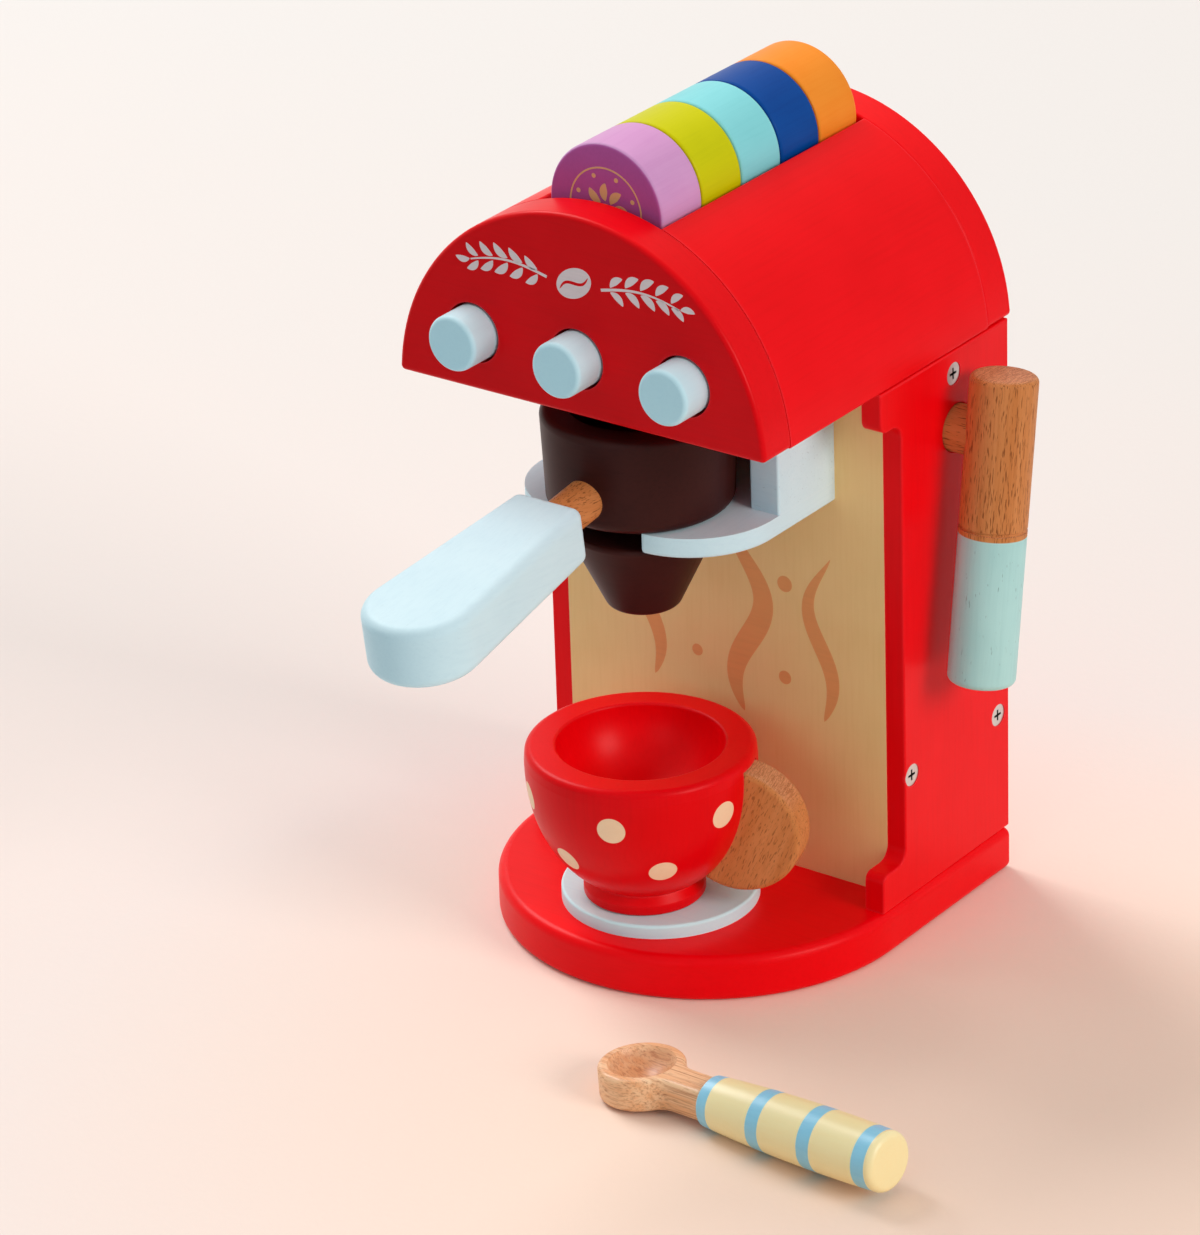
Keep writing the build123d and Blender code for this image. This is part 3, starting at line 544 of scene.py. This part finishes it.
def steelMaterial(name, rough, headAt=None):
    # headAt is how far from the middle the heads' faces lie; what lies deeper gets painted shade
    def layer(tree):
        point = woodPoint(tree)
        scratches = noise(tree, point, steel["scratches"], detail=3)
        tint = mixColours(tree, scratches, colour(*steel["dull"]), colour(*steel["light"]))
        if headAt:
            outward = mathNode(tree, "ABSOLUTE", separate(tree, point)["X"])
            depth = mathNode(tree, "SUBTRACT", headAt, outward)
            # painted shade in the screw heads' cross recesses
            dark = ramp(tree, depth, *[value * mm for value in steel["recessSpan"]])
            tint = mixColours(tree, dark, tint, colour(*steel["recess"]))
        return {
            "colour": tint,
            "rough": mathNode(tree, "MULTIPLY_ADD", scratches, steel["roughSpan"],
                              rough - steel["roughSpan"] / 2),
            "relief": product(tree, scratches, steel["scratchDepth"]),
        }
    material, shader = newMaterial(name, layer, steel["gloss"])
    shader.inputs["Metallic"].default_value = 1.0
    return material


finish = {}


def addFinish(name, makeLayer, gloss=surface["gloss"]):
    finish[name] = newMaterial(name, makeLayer, gloss)[0]


for paintName, paintLook in paints.items():
    addFinish(paintName, lambda tree, look=paintLook: paintLayer(tree, look))
for podName, podColours in podPaints.items():
    addFinish(podName + "Pod", lambda tree, look=podColours: podLayer(tree, *look))
addFinish("beechDowel", lambda tree: beechLayer(tree, "y", grainTurns["filterHandle"]))
addFinish("beechHub", lambda tree: beechLayer(tree, "x"))
addFinish("beechDisc", lambda tree: beechLayer(tree, "z", grainTurns["cupDisc"], discBeechLook))
addFinish("beechScoop", scoopBowlLayer, surface["scoopGloss"])
addFinish("leverBeechAndTeal", leverLayer)
addFinish("dottedRed", cupLayer)
addFinish("bandedCream", scoopHandleLayer, surface["scoopGloss"])
finish["zincScrew"] = steelMaterial("zincScrew", rough=0.30)
finish["sideScrew"] = steelMaterial("sideScrew", rough=0.34, headAt=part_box("side_screws")[1].x)
finish["springWire"] = steelMaterial("springWire", rough=0.42)
print("materials made")


# the turned and sawn pieces and their finishes; a piece that isn't named here gets the lining's

solidFinish = {
    "base_board": "redAcross",
    "side_panel_left": "redUpright",
    "side_panel_right": "redUpright",
    "splash_panel": "panel",
    "rear_panel": "redUpright",
    "face_plate": "redFacePaintedShade",
    "back_plate": "redAcross",
    "barrel_cover_left": "redFrontToBack",
    "barrel_cover_right": "redFrontToBack",
    "housing_floor": "redFrontToBack",
    "trough_side_left": "redFrontToBack",
    "trough_side_right": "redFrontToBack",
    "trough_floor": "redFrontToBack",
    "fork_plate": "skyBoard",
    "fork_block_left": "skyEndGrain",
    "fork_block_right": "skyEndGrain",
    "cup_rest": "rest",
    "button_left": "skyButton",
    "button_middle": "skyButton",
    "button_right": "skyButton",
    "lever_bar": "leverBeechAndTeal",
    "lever_hub": "beechHub",
    "filter_spout": "coffee",
    "filter_bowl": "coffee",
    "filter_dowel": "beechDowel",
    "filter_handle": "skyHandle",
    "cup_body": "dottedRed",
    "cup_handle": "beechDisc",
    "pod_lavender": "lavenderPod",
    "pod_lime": "limePod",
    "pod_turquoise": "turquoisePod",
    "pod_blue": "bluePod",
    "pod_orange": "orangePod",
    "scoop_bowl": "beechScoop",
    "scoop_handle": "bandedCream",
    "side_screws": "sideScrew",
    "base_screws": "zincScrew",
    "rail_screws": "zincScrew",
    "fork_screws": "zincScrew",
    "lever_washer": "zincScrew",
    "lever_screw": "zincScrew",
    "button_spring_left": "springWire",
    "button_spring_middle": "springWire",
    "button_spring_right": "springWire",
}
for nodeName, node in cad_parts.items():
    for materialSlot in node.material_slots:
        materialSlot.material = finish[solidFinish.get(nodeName, "lining")]


# new pieces

def meshFromCurve(name, curve):
    drawing = bpy.data.objects.new(name + "Drawing", curve)
    mesh = bpy.data.meshes.new_from_object(drawing)
    bpy.data.objects.remove(drawing)
    mesh.name = name
    return mesh


def addPiece(name, mesh, material):
    mesh.materials.clear()
    mesh.materials.append(material)
    piece = bpy.data.objects.new(name, mesh)
    bpy.context.scene.collection.objects.link(piece)
    return piece


# return springs behind the buttons

springCoil = {
    "radius": 4.2,
    "wireRadius": 0.45,
    "turns": 7,
    "stepsPerTurn": 24,
    "travel": 7.0,                  # how far a button goes in
}


def makeSprings():
    look = springCoil
    radius, wireRadius = look["radius"] * mm, look["wireRadius"] * mm
    steps = look["turns"] * look["stepsPerTurn"]
    for side in ("left", "middle", "right"):
        low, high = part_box("button_spring_" + side)
        centreX, centreZ = (low.x + high.x) / 2, (low.z + high.z) / 2
        start, end = low.y + wireRadius, high.y - wireRadius
        curve = bpy.data.curves.new("coil", "CURVE")
        curve.dimensions = "3D"
        curve.bevel_depth = wireRadius
        curve.bevel_resolution = 2
        curve.use_fill_caps = True
        spline = curve.splines.new("POLY")
        spline.points.add(steps)
        for step, point in enumerate(spline.points):
            share = step / steps
            turn = 2 * math.pi * look["turns"] * share
            point.co = (centreX + radius * math.cos(turn), start + (end - start) * share,
                        centreZ + radius * math.sin(turn), 1)
        mesh = meshFromCurve("returnSpring_" + side, curve)
        mesh.shade_smooth()
        spring = addPiece("returnSpring_" + side, mesh, finish["springWire"])
        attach(spring, "machine")
        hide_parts("button_spring_" + side)
        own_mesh(spring)


# printed paint: thin films that lie on a flat face

film = {
    "proud": 0.04,                  # how far a film stands out of the face
    "sunk": 0.05,                   # how far it reaches into the face, so that no light gets under it
    "weld": 0.001,                  # points nearer than this become one
    "steamColour": (246, 170, 106),
    "ornamentColour": (255, 226, 224),
    "podColour": (248, 196, 136),
    "deepening": 0.94,              # brightness of its deeper parts
    "rough": 0.5,
    "depth": 0.004,
}


def printMaterial(name, main):
    deep = [part * film["deepening"] for part in main]
    look = {"main": main, "deep": deep, "rough": film["rough"], "depth": film["depth"], "grain": "x"}
    return newMaterial(name, lambda tree: paintLayer(tree, look))[0]


def printFilm(name, outlines, faceY, body, material):
    # outlines are closed loops of (x, z) points; a loop inside another one is a hole
    curve = bpy.data.curves.new(name, "CURVE")
    curve.dimensions = "2D"
    curve.fill_mode = "BOTH"
    curve.extrude = (film["proud"] + film["sunk"]) / 2 * mm
    for outline in outlines:
        spline = curve.splines.new("POLY")
        spline.points.add(len(outline) - 1)
        for point, (x, z) in zip(spline.points, outline):
            point.co = (x * mm, z * mm, 0, 1)
        spline.use_cyclic_u = True
    mesh = meshFromCurve(name, curve)
    middle = (faceY - (film["proud"] - film["sunk"]) / 2) * mm
    mesh.transform(Matrix.Translation((0, middle, 0)) @ Matrix.Rotation(math.radians(90), 4, "X"))
    shape = bmesh.new()
    shape.from_mesh(mesh)
    bmesh.ops.remove_doubles(shape, verts=shape.verts, dist=film["weld"] * mm)
    bmesh.ops.recalc_face_normals(shape, faces=shape.faces)
    shape.to_mesh(mesh)
    shape.free()
    piece = addPiece(name, mesh, material)
    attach(piece, body)


outlineSet = {
    "slopeReach": 0.005,            # share of a line before and after a point over which its slope is taken
    "ribbonSteps": 48,
    "discSteps": 40,
    "tip": 0.02,                    # width left at a pointed end, so that the outline stays open
}


def ribbon(centre, width, steps=outlineSet["ribbonSteps"]):
    # an outline that runs up one side of a line and down the other
    left, right = [], []
    for step in range(steps + 1):
        share = step / steps
        before = centre(max(0.0, share - outlineSet["slopeReach"]))
        after = centre(min(1.0, share + outlineSet["slopeReach"]))
        run = Vector((after[0] - before[0], after[1] - before[1])).normalized()
        x, z = centre(share)
        half = width(share) / 2
        left.append((x - run.y * half, z + run.x * half))
        right.append((x + run.y * half, z - run.x * half))
    return left + right[::-1]


def disc(x, z, radius, steps=outlineSet["discSteps"]):
    turns = [2 * math.pi * step / steps for step in range(steps)]
    return [(x + radius * math.cos(turn), z + radius * math.sin(turn)) for turn in turns]


def placed(x, z, angle):
    # gives the function that takes a point along and across a slanted figure to the face
    turn = math.radians(angle)

    def place(along, across):
        return (x + along * math.cos(turn) - across * math.sin(turn),
                z + along * math.sin(turn) + across * math.cos(turn))
    return place


leafShape = {"bow": 0.12, "fullness": 0.75, "steps": 24}


def leaf(x, z, length, width, angle):
    # a pointed leaf that grows from (x, z)
    place = placed(x, z, angle)

    def centre(share):
        return place(length * share, leafShape["bow"] * length * math.sin(math.pi * share))

    def across(share):
        return width * math.sin(math.pi * share) ** leafShape["fullness"] + outlineSet["tip"]
    return ribbon(centre, across, leafShape["steps"])


beanShape = {
    "ovalSteps": 48,
    "slitLength": 0.88,             # of the bean's length
    "slitSway": 0.13,               # of the bean's width, as is the next one
    "slitWidth": 0.11,
    "slitSteps": 30,
}


def bean(x, z, length, width, angle):
    # an oval with an S-shaped slit
    look = beanShape
    place = placed(x, z, angle)
    turns = [2 * math.pi * step / look["ovalSteps"] for step in range(look["ovalSteps"])]
    oval = [place(length / 2 * math.cos(turn), width / 2 * math.sin(turn)) for turn in turns]

    def slitCentre(share):
        return place((share - 0.5) * length * look["slitLength"],
                     width * look["slitSway"] * math.sin(2 * math.pi * share))

    def slitWidth(share):
        return width * look["slitWidth"] * math.sin(math.pi * share) ** 0.5 + outlineSet["tip"]
    return [oval, ribbon(slitCentre, slitWidth, look["slitSteps"])]


# steam that rises up the splash panel

steam = {
    # foot of the wisp, height, sway, waves, phase in turns, widest place
    "wisps": (
        ((-26.0, 66.0), 54.0, 5.2, 1.15, 0.05, 5.4),
        ((7.0, 62.0), 66.0, 7.0, 1.25, 0.55, 7.6),
        ((36.0, 66.0), 54.0, 5.4, 1.10, 0.02, 5.4),
    ),
    "footSway": 0.6,                # share of the sway at the foot; the rest comes in on the way up
    "fullness": 0.8,
    "tip": 0.05,
    "steps": 60,
    # x, z and radius of the drops
    "drops": ((-11.0, 112.0, 2.2), (22.5, 108.0, 2.6), (-10.0, 78.0, 1.9), (22.0, 77.0, 2.2)),
}


def makeSteam():
    look = steam
    material = printMaterial("steamPrint", film["steamColour"])
    outlines = []
    for (footX, footZ), height, sway, waves, phase, widest in look["wisps"]:
        def centre(share):
            swing = math.sin(2 * math.pi * (waves * share + phase)) - math.sin(2 * math.pi * phase)
            grown = look["footSway"] + (1 - look["footSway"]) * share
            return footX + sway * swing * grown, footZ + height * share

        def width(share):
            return widest * math.sin(math.pi * share ** look["fullness"]) ** look["fullness"] + look["tip"]
        outlines.append(ribbon(centre, width, look["steps"]))
    outlines += [disc(x, z, radius) for x, z, radius in look["drops"]]
    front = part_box("splash_panel")[0].y / mm
    printFilm("steamPrint", outlines, front, "machine", material)


# a bean between two sprigs above the buttons

ornament = {
    "height": 223.5,
    "rise": 2.6,                    # how far the sprigs bow up
    "arch": 0.9,                    # how much of a half wave the bow takes
    "droop": 0.4,                   # of the rise, at the tip
    "beanLength": 13.0,
    "beanWidth": 8.8,
    "beanTurn": 28,
    "sprigStart": 9.5,
    "sprigEnd": 36.5,
    "stemWidth": 0.9,
    "stemTaper": 0.5,
    "stemSteps": 30,
    "leafPairs": 5,
    "leafFirst": 0.12,              # place of the first pair along the stem, and from there to the last
    "leafRun": 0.78,
    "leafLength": 6.2,
    "leafWidth": 2.5,
    "leafSpread": 38,               # degrees from the stem
    "leafOff": 0.75,                # from the middle of the stem
    "longestAt": 0.45,              # where along the stem the leaves are longest
    "shrink": 0.35,
    "endLeafOff": 0.4,              # past the end of the stem
    "endLeafSize": 0.8,
}


def makeOrnament():
    look = ornament
    length = look["sprigEnd"] - look["sprigStart"]
    outlines = bean(0, look["height"], look["beanLength"], look["beanWidth"], look["beanTurn"])
    leaves = []
    for side in (-1, 1):
        outward = 90 - side * 90    # degrees of the way that the sprig grows

        def stem(share):
            bow = math.sin(math.pi * share * look["arch"]) - look["droop"] * share
            return side * (look["sprigStart"] + length * share), look["height"] + look["rise"] * bow

        def stemWidth(share):
            return look["stemWidth"] * (1 - look["stemTaper"] * share)
        outlines.append(ribbon(stem, stemWidth, look["stemSteps"]))
        for pair in range(look["leafPairs"]):
            share = look["leafFirst"] + look["leafRun"] * pair / (look["leafPairs"] - 1)
            x, z = stem(share)
            size = 1.0 - look["shrink"] * abs(share - look["longestAt"])
            for way in (-1, 1):
                leaves.append([leaf(x, z + way * look["leafOff"], look["leafLength"] * size,
                                    look["leafWidth"] * size, outward + side * way * look["leafSpread"])])
        endX, endZ = stem(1.0)
        leaves.append([leaf(endX + side * look["endLeafOff"], endZ, look["leafLength"] * look["endLeafSize"],
                            look["leafWidth"] * look["endLeafSize"], outward)])
    material = printMaterial("facePrint", film["ornamentColour"])
    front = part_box("face_plate")[0].y / mm
    printFilm("faceOrnament", outlines, front, "machine", material)
    for index, outline in enumerate(leaves):
        printFilm("faceLeaf_%02d" % (index + 1), outline, front, "machine", material)


# a ring and a daisy on the front of each pod

podPrint = {
    "ringRadius": 12.6,
    "ringWidth": 0.5,
    "ringSteps": 96,
    "petals": 8,
    "petalStart": 2.4,
    "petalLength": 5.4,
    "petalWidth": 2.6,
    "heart": 1.6,
    "beads": 8,
    "beadPlace": 10.2,
    "beadRadius": 0.7,
    "beadSteps": 20,
}


def makePodPrints():
    look = podPrint
    material = printMaterial("podPrint", film["podColour"])
    for podName in podPaints:
        low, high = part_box("pod_" + podName)
        centreX, centreZ = (low.x + high.x) / 2 / mm, (low.z + high.z) / 2 / mm
        outlines = [
            disc(centreX, centreZ, look["ringRadius"], look["ringSteps"]),
            disc(centreX, centreZ, look["ringRadius"] - look["ringWidth"], look["ringSteps"]),
            disc(centreX, centreZ, look["heart"]),
        ]
        for petal in range(look["petals"]):
            angle = 90 + 360 * petal / look["petals"]
            x, z = placed(centreX, centreZ, angle)(look["petalStart"], 0)
            outlines.append(leaf(x, z, look["petalLength"], look["petalWidth"], angle))
        for bead in range(look["beads"]):
            angle = 90 + 360 * (bead + 0.5) / look["beads"]
            x, z = placed(centreX, centreZ, angle)(look["beadPlace"], 0)
            outlines.append(disc(x, z, look["beadRadius"], look["beadSteps"]))
        printFilm("podPrint_" + podName, outlines, low.y / mm, "pod_" + podName,
                  material)


makeSprings()
print("springs made")
makeSteam()
makeOrnament()
makePodPrints()
print("prints made")


# floor, light and camera; places are in metres here

floorLook = {
    "reach": 14.0,                  # from the middle to each side
    "near": (244, 229, 222),
    "far": (235, 229, 225),
    "depth": (-0.25, 0.55),         # from where to where near turns into far, front to back
    "driftCells": 6,
    "drift": 0.3,                   # how much the tone drifts
    # painted warm shade and bounce light on the floor around the toy
    "paintedWarmGlow": (253, 226, 208),
    "warmCentre": (0.18, -0.08, 0),
    "warmStretch": (0.9, 1, 0),     # flattens the distances from that centre, and leaves height out
    "paintedWarmGlowSpan": (0.29, 0.12),       # distances from where the painted warm glow starts to where it is full
    # what the floor throws back onto the toy
    "bounceWarm": (250, 214, 184),
    "bounceNear": (224, 229, 229),
    "bounceFar": (112, 142, 156),
    "bounceWarmSpan": (0.20, 0.08),
    "bounceFarSpan": (0.30, 0.65),
    "fadeSpan": (1.0, 3.2),         # distances over which the floor turns into the backdrop
    "rough": 0.75,
    "roughSpan": 0.1,
    "fibreCells": 420,
    "fibreDepth": 0.10,
}
sky = {
    "backdrop": (246, 239, 233),    # what is seen past the floor
    "low": (190, 235, 255),
    "high": (252, 250, 246),
    "dark": 0.15,                   # strength low at the right
    "light": 0.61,                  # strength high at the left
    "towards": (-0.5, 0.3, 0.81),   # where it is light
    "lightSpan": (-0.8, 0.8),
    "tintSpan": (-0.5, 0.6),
}


def seenRays(tree):
    # 1 for what the camera sees, straight or in a reflection, and 0 for light on its way to the toy
    rays = addNode(tree, "ShaderNodeLightPath").outputs
    return anyOf(tree, [rays["Is Camera Ray"], rays["Is Glossy Ray"], rays["Is Transmission Ray"]])


def floorLayer(tree):
    look = floorLook
    point = woodPoint(tree)
    depth = ramp(tree, separate(tree, point)["Y"], *look["depth"])
    drift = noise(tree, point, look["driftCells"], detail=3)
    share = mathNode(tree, "MULTIPLY_ADD", drift, look["drift"],
                     mathNode(tree, "SUBTRACT", depth, look["drift"] / 2), clamp=True)
    tint = mixColours(tree, share, colour(*look["near"]), colour(*look["far"]))
    offset = vectorNode(tree, "SUBTRACT", point, look["warmCentre"])
    away = lengthOf(tree, vectorNode(tree, "MULTIPLY", offset, look["warmStretch"]))
    # painted warm shade and bounce light on the floor near the toy
    tint = mixColours(tree, ramp(tree, away, *look["paintedWarmGlowSpan"]), tint, colour(*look["paintedWarmGlow"]))
    bounce = mixColours(tree, ramp(tree, away, *look["bounceFarSpan"]), colour(*look["bounceNear"]),
                        colour(*look["bounceFar"]))
    bounce = mixColours(tree, ramp(tree, away, *look["bounceWarmSpan"]), bounce,
                        colour(*look["bounceWarm"]))
    seen = seenRays(tree)
    faded = product(tree, seen, ramp(tree, away, *look["fadeSpan"]))
    fibres = noise(tree, point, look["fibreCells"], detail=3)
    return {
        "colour": mixColours(tree, faded, mixColours(tree, seen, bounce, tint), colour(0, 0, 0)),
        "glow": faded,
        "rough": mathNode(tree, "MULTIPLY_ADD", drift, look["roughSpan"], look["rough"]),
        "relief": product(tree, fibres, look["fibreDepth"]),
    }


def makeFloor():
    reach = floorLook["reach"]
    mesh = bpy.data.meshes.new("floor")
    mesh.from_pydata([(-reach, -reach, 0), (reach, -reach, 0), (reach, reach, 0), (-reach, reach, 0)], [],
                     [(0, 1, 2, 3)])
    material, shader = newMaterial("paperFloor", floorLayer, 0.0)
    shader.inputs["Emission Color"].default_value = colour(*sky["backdrop"])
    floor = addPiece("floor", mesh, material)
    floor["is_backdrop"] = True


lamps = {
    # name: place and target in metres, width and height in metres, power in watts, colour
    "windowLeft": ((-2.71, 0.73, 3.12), (0, 0, 0.1), (2.0, 2.0), 102, (0.98, 0.99, 1.0)),
    "cardRight": ((3.75, -0.2, 1.8), (0, 0, 0.12), (1.8, 1.6), 76, (1.06, 0.97, 0.92)),
    "frontFill": ((0.4, -4.2, 1.6), (0, 0, 0.12), (2.4, 1.6), 9, (0.75, 1.0, 1.05)),
}


def makeLamps():
    for name, (place, target, size, power, tint) in lamps.items():
        lamp = bpy.data.lights.new(name, "AREA")
        lamp.shape = "RECTANGLE"
        lamp.size, lamp.size_y = size
        lamp.energy = power
        lamp.color = tint
        holder = bpy.data.objects.new(name, lamp)
        holder.location = place
        holder.rotation_mode = "QUATERNION"
        holder.rotation_quaternion = (Vector(target) - Vector(place)).to_track_quat("-Z", "Y")
        bpy.context.scene.collection.objects.link(holder)


def makeSky():
    world = bpy.data.worlds.new("studioWorld")
    bpy.context.scene.world = world
    world.use_nodes = True
    tree = world.node_tree
    background = tree.nodes["Background"]
    outward = addNode(tree, "ShaderNodeTexCoord").outputs["Generated"]
    share = vectorNode(tree, "DOT_PRODUCT", outward, sky["towards"], "Value")
    seen = seenRays(tree)
    level = ramp(tree, share, *sky["lightSpan"], sky["dark"], sky["light"])
    tree.links.new(mixNumbers(tree, seen, level, 1.0), background.inputs["Strength"])
    tint = mixColours(tree, ramp(tree, share, *sky["tintSpan"]), colour(*sky["low"]), colour(*sky["high"]))
    tint = mixColours(tree, seen, tint, colour(*sky["backdrop"]))
    tree.links.new(tint, background.inputs["Color"])


cameraSet = {
    "place": (949.83, -1320.46, 870.33),    # in millimetres, as is the target
    "target": (0, -45.27, 120),
    "roll": -0.03303,                       # in radians
    "lens": 181.07,
    "shift": (-0.01253, -0.0178),
    "clip": (0.05, 60),                     # in metres
}


def makeCamera():
    place = Vector(cameraSet["place"]) * mm
    target = Vector(cameraSet["target"]) * mm
    data = bpy.data.cameras.new("camera")
    data.sensor_fit = "HORIZONTAL"
    data.lens = cameraSet["lens"]
    data.shift_x, data.shift_y = cameraSet["shift"]
    data.clip_start, data.clip_end = cameraSet["clip"]
    camera = bpy.data.objects.new("camera", data)
    facing = (target - place).to_track_quat("-Z", "Y").to_matrix()
    roll = Matrix.Rotation(cameraSet["roll"], 3, "Z")
    camera.matrix_world = Matrix.Translation(place) @ (facing @ roll).to_4x4()
    bpy.context.scene.collection.objects.link(camera)
    bpy.context.scene.camera = camera


makeFloor()
makeLamps()
makeSky()
makeCamera()
bpy.context.scene.view_settings.view_transform = "Standard"
print("studio ready")

pairs = {"cad": solidBox, "visual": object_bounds()}
{key: [list(corner) for corner in box] for key, box in pairs.items()}
